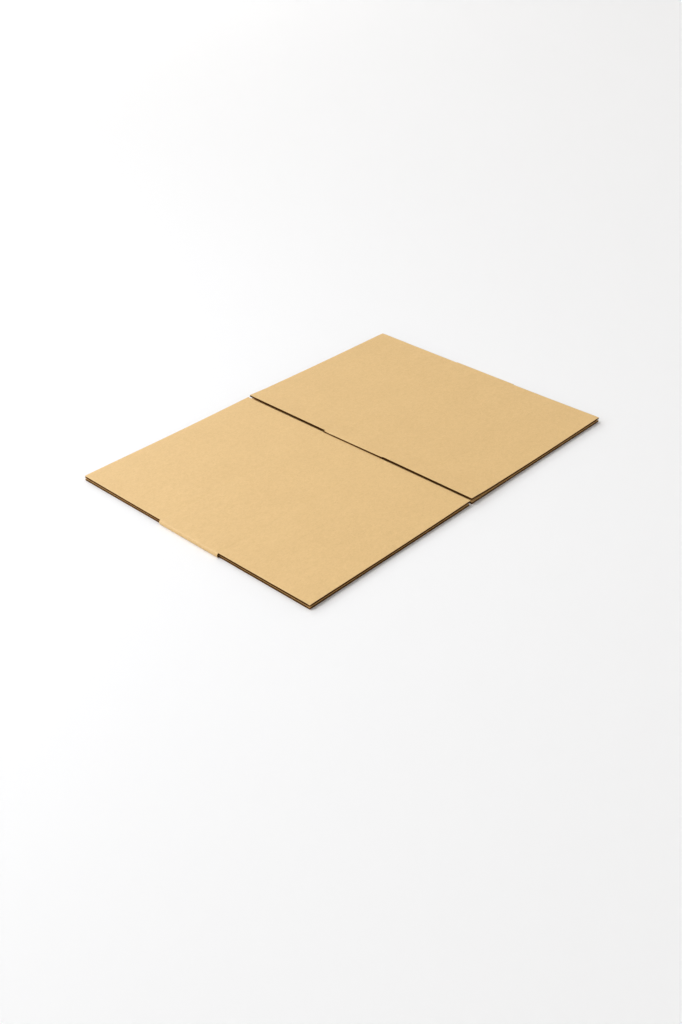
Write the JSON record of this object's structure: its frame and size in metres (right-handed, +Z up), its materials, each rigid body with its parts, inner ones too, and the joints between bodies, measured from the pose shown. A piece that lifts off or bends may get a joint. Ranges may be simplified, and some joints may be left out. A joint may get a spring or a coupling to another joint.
{
  "type": "flattened cardboard box",
  "caption": "Slotted shipping carton of brown corrugated board, folded flat at two creases and glued at a lap joint, with flaps at both ends.",
  "frame": {"origin": "centre of the footprint, on the face that the flat carton lies on", "axes": "+X across the panels from fold to fold, +Y along the flutes from the front flap ends to the back ones, +Z up"},
  "size_m": [0.606, 0.409, 0.01],
  "materials": {
    "kraft_board": "matt brown kraft liner"
  },
  "bodies": {
    "root": {"flattened_box": "kraft_board"}
  },
  "joints": []
}
